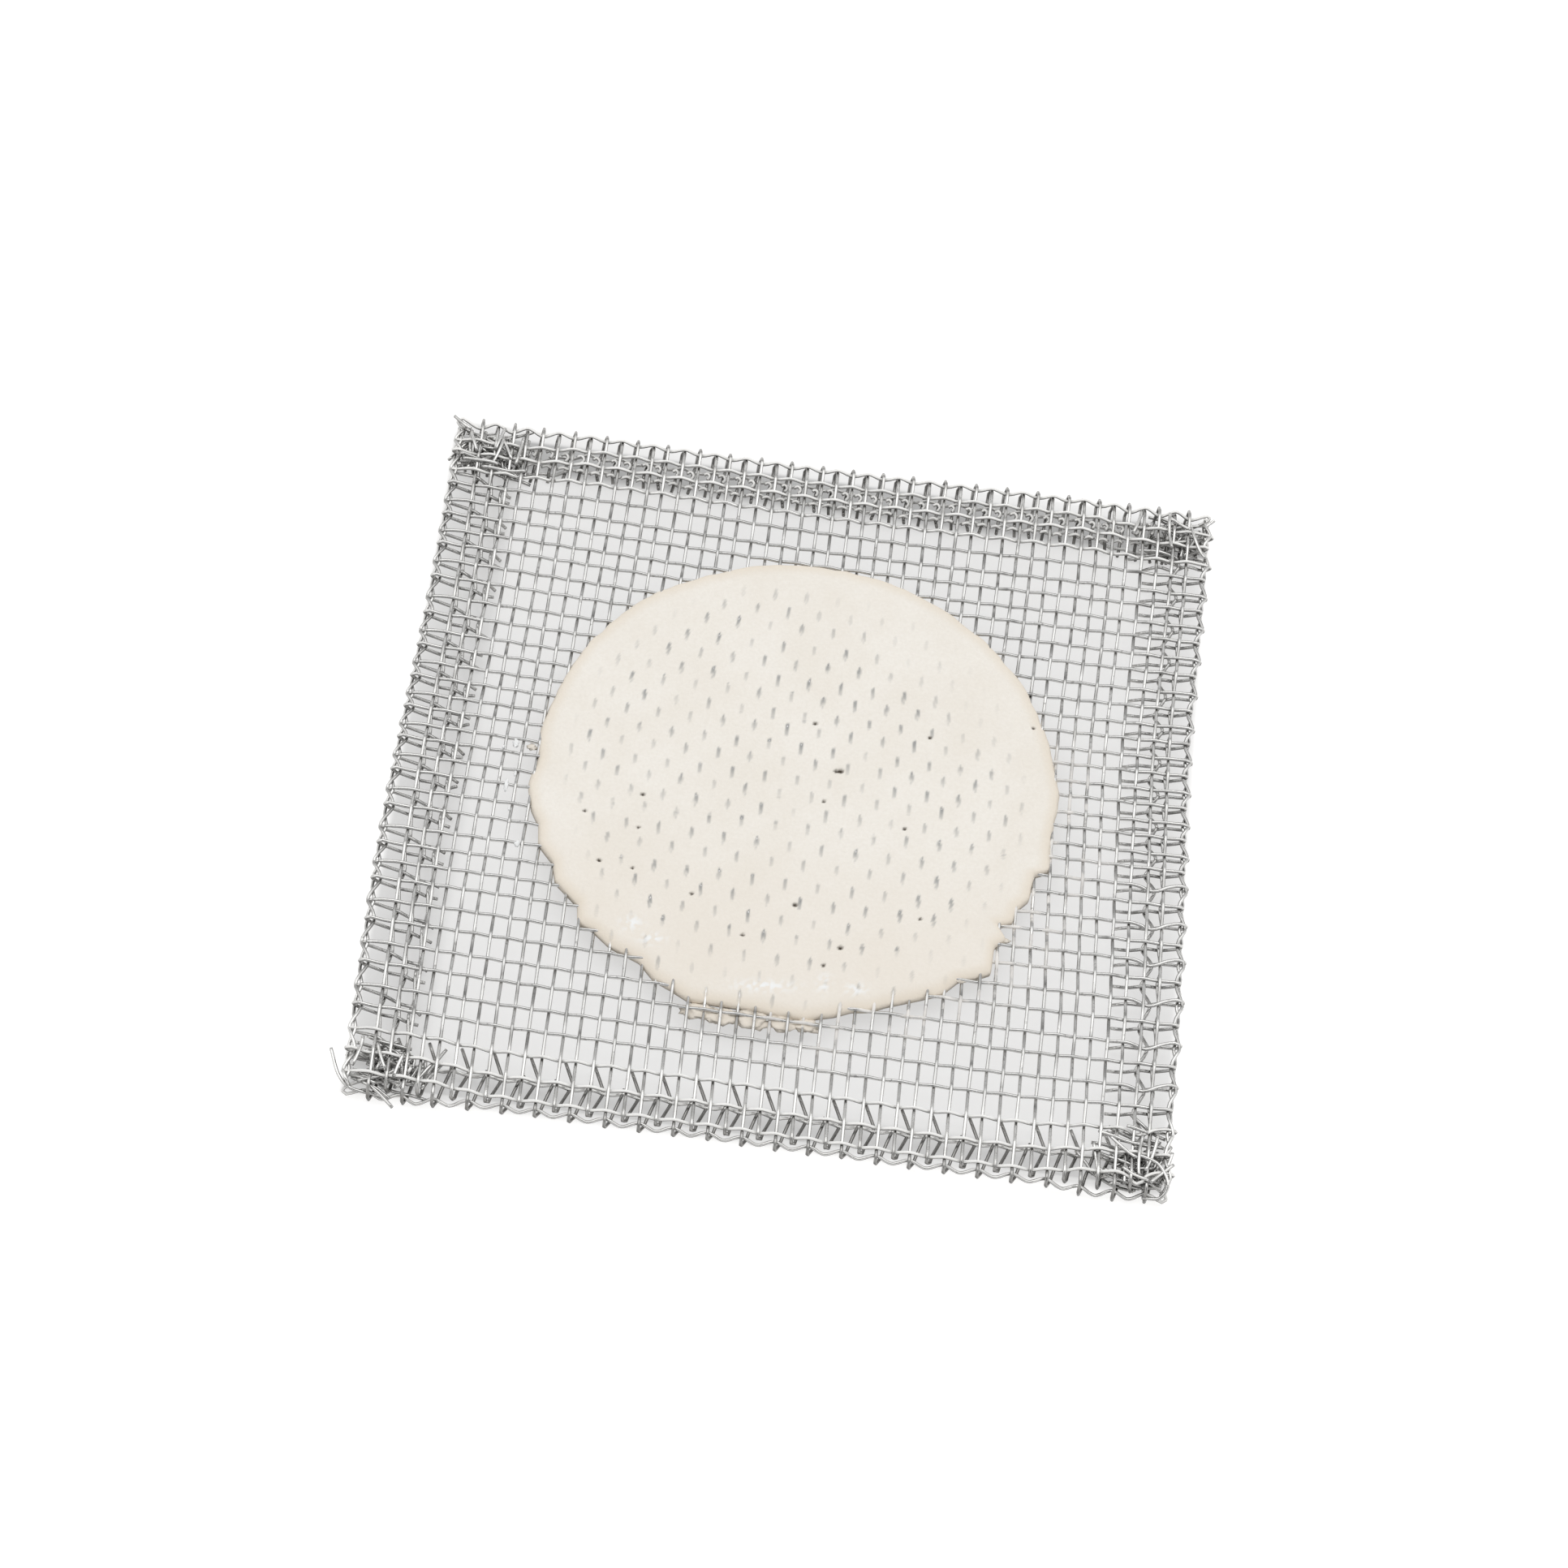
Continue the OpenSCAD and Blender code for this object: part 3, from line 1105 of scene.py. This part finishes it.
def object_place(tree):
    """The point's place in the object's own frame, which is the model's frame."""
    return add(tree, "ShaderNodeTexCoord").outputs["Object"]


def axes_of(vector):
    """The X, Y and Z outputs of a vector."""
    node = add(vector.id_data, "ShaderNodeSeparateXYZ")
    join(vector, node.inputs[0])
    return node.outputs


def noise_of(tree, size, detail=3.0, contrast=(0.35, 0.65)):
    """A noise pattern with features of a given size, spread over 0 to 1."""
    pattern = add(tree, "ShaderNodeTexNoise", Scale=1 / size, Detail=detail)
    join(object_place(tree), pattern.inputs["Vector"])
    return carry(pattern.outputs["Fac"], *contrast, 0, 1)


def blend_colour(factor, below, above):
    """Mixes two colours; each may be a colour or another node's output."""
    mix = add(factor.id_data, "ShaderNodeMix", data_type="RGBA")
    join(factor, mix.inputs[0])
    for colour, socket in ((below, mix.inputs[6]), (above, mix.inputs[7])):
        join((*colour, 1) if isinstance(colour, tuple) else colour, socket)
    return mix.outputs[2]


def paint(shader, colour, layers):
    """Lays the colours of all layers over the first one, each where its cover is 1."""
    for cover, above in layers:
        colour = blend_colour(cover, colour, above)
    join(colour, shader.inputs["Base Color"])


def mark(tree, name, most=1.0):
    """One of the numbers that the mesh carries, scaled so that 1 becomes most."""
    carried = add(tree, "ShaderNodeAttribute", attribute_name=name)
    return carry(carried.outputs["Fac"], 0, 1, 0, most)


def roughen(shader, height, strength, depth):
    """A fine bump on the surface, for grain too small to be modelled."""
    bump = add(shader.id_data, "ShaderNodeBump", Strength=strength, Distance=depth)
    join(height, bump.inputs["Height"])
    join(bump.outputs["Normal"], shader.inputs["Normal"])


# %% [markdown]
# ## Galvanised wire
#
# The wire is zinc-coated steel: a light grey metal, half shiny. Its look comes from roughness:
# a noise makes some stretches satin and others bright. Each wire's own tone shifts its grey.
#
# Over that lie marks of use and painted light, in layers. Dirt and painted shade gather where
# the wires cross, the upper sides of the hems' top wires take a painted highlight, the ends
# folded inside and every lower side of the hems take painted shade, and ceramic powder covers
# the wires near the disc's lower right rim. Painted shade, powder and the brightest painted
# highlights aren't shiny, so there the metal gives way to a plain surface.

# %% Ceramic powder on the wires
def powder(tree):
    """Patches of white powder on the wires round the disc, thickest at its lower right rim."""
    powder_centre = pad_centre + Vector((3, -3.5, 4)) * MM
    away = vector_step("SUBTRACT", object_place(tree), powder_centre)
    distance = vector_step("LENGTH", away, answer="Value")
    near = carry(distance, pad_radius + 8 * MM, pad_radius - 1 * MM, 0, 1)
    patches = noise_of(tree, 3.0 * MM, 3.0, (0.47, 0.60))
    lower_right = vector_step("DOT_PRODUCT", away, (0.8, -0.6, 0), "Value")
    side = carry(lower_right, 12 * MM, 28 * MM, 0, 1)
    return combine("MULTIPLY", near, patches, side)


# %% The wire's material
def galvanised_wire():
    material, tree, shader = new_material("galvanised_wire")
    dull = noise_of(tree, 2.2 * MM, 4.0)
    highlighted = mark(tree, "painted_highlight", 0.9)
    shaded = mark(tree, "shade", 0.9)
    dust = powder(tree)
    layers = (
        (dull, (0.58, 0.574, 0.56)),
        (noise_of(tree, 0.7 * MM, 2.0, (0.62, 0.72)), (0.36, 0.35, 0.34)),
        # Dirt and painted shade where the wires dip under each other.
        (mark(tree, "sunk", 0.75), (0.2, 0.195, 0.188)),
        # A painted highlight on the upper sides of the hems' top wires.
        (highlighted, (1.0, 0.985, 0.955)),
        # Painted shade on the warp ends inside and round the end hems.
        (mark(tree, "depth", 0.85), (0.23, 0.223, 0.213)),
        # Painted shade on the lower sides of the hems' wires, drawn as a plain dark surface.
        (shaded, (0.12, 0.115, 0.108)),
        (dust, (0.86, 0.83, 0.79)),
    )
    tone = mark(tree, "tone")
    grey = blend_colour(tone, (0.53, 0.522, 0.508), (0.67, 0.662, 0.648))
    paint(shader, grey, layers)
    # Where the painted highlight is brightest, the wire is drawn as a plain surface.
    most_highlighted = carry(mark(tree, "painted_highlight"), 0.7, 1, 0, 0.9)
    plain = combine("MAXIMUM", dust, shaded, most_highlighted)
    join(carry(plain, 0, 1, 1, 0), shader.inputs["Metallic"])
    satin = carry(dull, 0, 1, 0.18, 0.32)
    matt = carry(highlighted, 0, 1, 0, 0.55)
    join(combine("MAXIMUM", satin, dust, matt), shader.inputs["Roughness"])
    roughen(shader, noise_of(tree, 0.25 * MM, 2.0), 0.25, 0.02 * MM)
    return material


wire_finish = galvanised_wire()
print("the wire's material has", len(wire_finish.node_tree.nodes), "nodes")

# %% [markdown]
# ## Unglazed ceramic
#
# The ceramic is matt and cream white, with a fine sandy grain, and slightly browner towards
# its lower rim. The marks that the mesh carries steer the rest: tan at the rim, a grey film
# over the crowns with some painted shade and highlight in it, white scrapes, and painted shade
# of a near-black brown in the pits.

# %% The ceramic's material
def fired_paste():
    material, tree, shader = new_material("fired_paste", Roughness=0.9, Specular_IOR_Level=0.25)
    grain = noise_of(tree, 0.5 * MM, 3.0, (0.3, 0.7))
    place_y = axes_of(object_place(tree))["Y"]
    layers = (
        (carry(grain, 0, 1, 0, 0.25), (0.76, 0.70, 0.61)),
        (carry(place_y, -8 * MM, -30 * MM, 0, 0.42), (0.84, 0.765, 0.67)),
        (mark(tree, "rim", 0.55), (0.80, 0.70, 0.57)),
        (mark(tree, "film", 0.95), (0.2, 0.212, 0.22)),
        (mark(tree, "scrape"), (0.93, 0.93, 0.92)),
        # The pits are painted near-black: painted shade in the hollows.
        (mark(tree, "pit"), (0.07, 0.055, 0.04)),
    )
    cloud = noise_of(tree, 9 * MM, 5.0)
    colour = blend_colour(cloud, (0.88, 0.83, 0.753), (0.912, 0.87, 0.803))
    paint(shader, colour, layers)
    roughen(shader, grain, 0.5, 0.05 * MM)
    return material


ceramic_finish = fired_paste()
print("the ceramic's material has", len(ceramic_finish.node_tree.nodes), "nodes")

# %% [markdown]
# ## Every piece joins the frame
#
# Each visible piece rides on the model's one body, stands in for the solid that it dresses,
# and takes its finish as a material.

# %% Ride, replace and finish
for piece in (warp_wires, weft_wires, side_hem_wires, end_hem_wires, stray_wires, curled_wires):
    piece.data.materials.append(wire_finish)
    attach(piece, "root")
    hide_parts("wire_sheet")
for piece in (pad_top, pad_under, paste_lumps):
    piece.data.materials.append(ceramic_finish)
    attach(piece, "root")
    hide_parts("ceramic_pad")

# %% [markdown]
# ## The table
#
# The gauze lies on a white table. A part of its white is its own, for the camera and for
# reflections, so that it reads as pure white while it still takes the soft shadow. Under the
# sheet that part is smaller, and smallest under the hems, where several layers of wire keep
# the light out.

# %% Floor
bpy.ops.mesh.primitive_plane_add(size=4)
floor = only(bpy.context.object)
floor.name = "white_table"
table, table_tree, table_shader = new_material(
    "white_table", Base_Color=(0.34, 0.34, 0.34, 1), Roughness=0.9, Specular_IOR_Level=0.1,
    Emission_Color=(1, 0.992, 0.98, 1),
)
open_level = 0.58
outside_level = 0.84
table_axes = axes_of(object_place(table_tree))


def from_middle(axis, middle, extra):
    """How far a point lies from the sheet's middle line along one axis."""
    aside = combine("SUBTRACT", table_axes[axis], middle)
    return combine("ADD", combine("ABSOLUTE", aside, 0), extra)


def hem_level(axis, side, first, last, level):
    """The open level, but a lower one under a hem, between two distances from the middle."""
    away = combine("MULTIPLY", table_axes[axis], side)
    falling = carry(away, first * MM, (first + 2) * MM, open_level, level, smooth=True)
    rising = carry(away, (last - 1.5) * MM, last * MM, 0, open_level, smooth=True)
    return combine("MAXIMUM", falling, rising)


hems = (("Y", 1, 56.0, 63.6, 0.27), ("Y", -1, 54.8, 60.5, 0.42), ("X", -1, 50.5, 64.0, 0.5))
under_sheet = combine("MINIMUM", *[hem_level(*numbers) for numbers in hems])
reach = combine("MAXIMUM", from_middle("X", -0.3 * MM, 0.9 * MM), from_middle("Y", 2.0 * MM, 0.0))
edge_band = (half + 0.2 * MM, half + 1.8 * MM)
whiteness = carry(reach, *edge_band, under_sheet, outside_level, smooth=True)
rays = add(table_tree, "ShaderNodeLightPath").outputs
kinds = ("Is Camera Ray", "Is Glossy Ray", "Is Transmission Ray")
seen = combine("MAXIMUM", *[rays[kind] for kind in kinds])
join(combine("MULTIPLY", seen, whiteness), table_shader.inputs["Emission Strength"])
floor.data.materials.append(table)
print("the table's own white:", open_level, "under the sheet,", outside_level, "outside")

# %% [markdown]
# ## The light
#
# The wires mirror the whole room, so the room matters more than any lamp. It is an even bright
# white with two darker places: one round the camera, and a strip behind the gauze, which draws
# a dark line along each wire. One large soft lamp overhead lifts the ceramic and the upward
# sides of the wires.

# %% World and lamps
world = bpy.data.worlds.new("room")
world.use_nodes = True
bpy.context.scene.world = world
room = world.node_tree.nodes["Background"]
room.inputs["Color"].default_value = (0.98, 0.99, 1.0, 1)
room_level = 0.88


def cosine(degrees):
    return math.cos(math.radians(degrees))


facing = add(world.node_tree, "ShaderNodeTexCoord").outputs["Generated"]
towards = vector_step("DOT_PRODUCT", facing, backward, "Value")
camera_side = carry(towards, cosine(31), cosine(22), room_level, 0.18, smooth=True)
facing_y = axes_of(facing)["Y"]
strip_start = carry(facing_y, 0.58, 0.65, room_level, 0.46, smooth=True)
strip_end = carry(facing_y, 0.71, 0.80, 0, room_level, smooth=True)
strip = combine("MAXIMUM", strip_start, strip_end)
join(combine("MINIMUM", camera_side, strip), room.inputs["Strength"])

overhead = bpy.data.lights.new("overhead", "AREA")
overhead.shape = "ELLIPSE"
overhead.size = 2.2
overhead.size_y = 0.78
overhead.energy = 3.4
lamp = bpy.data.objects.new("overhead", overhead)
bpy.context.collection.objects.link(lamp)
lamp.location = (0.0, 0.15, 0.84)
lamp.rotation_euler = (-lamp.location).to_track_quat("-Z", "Y").to_euler()
print("lamp at", in_mm(lamp.location))

bpy.context.scene.view_settings.view_transform = "Standard"
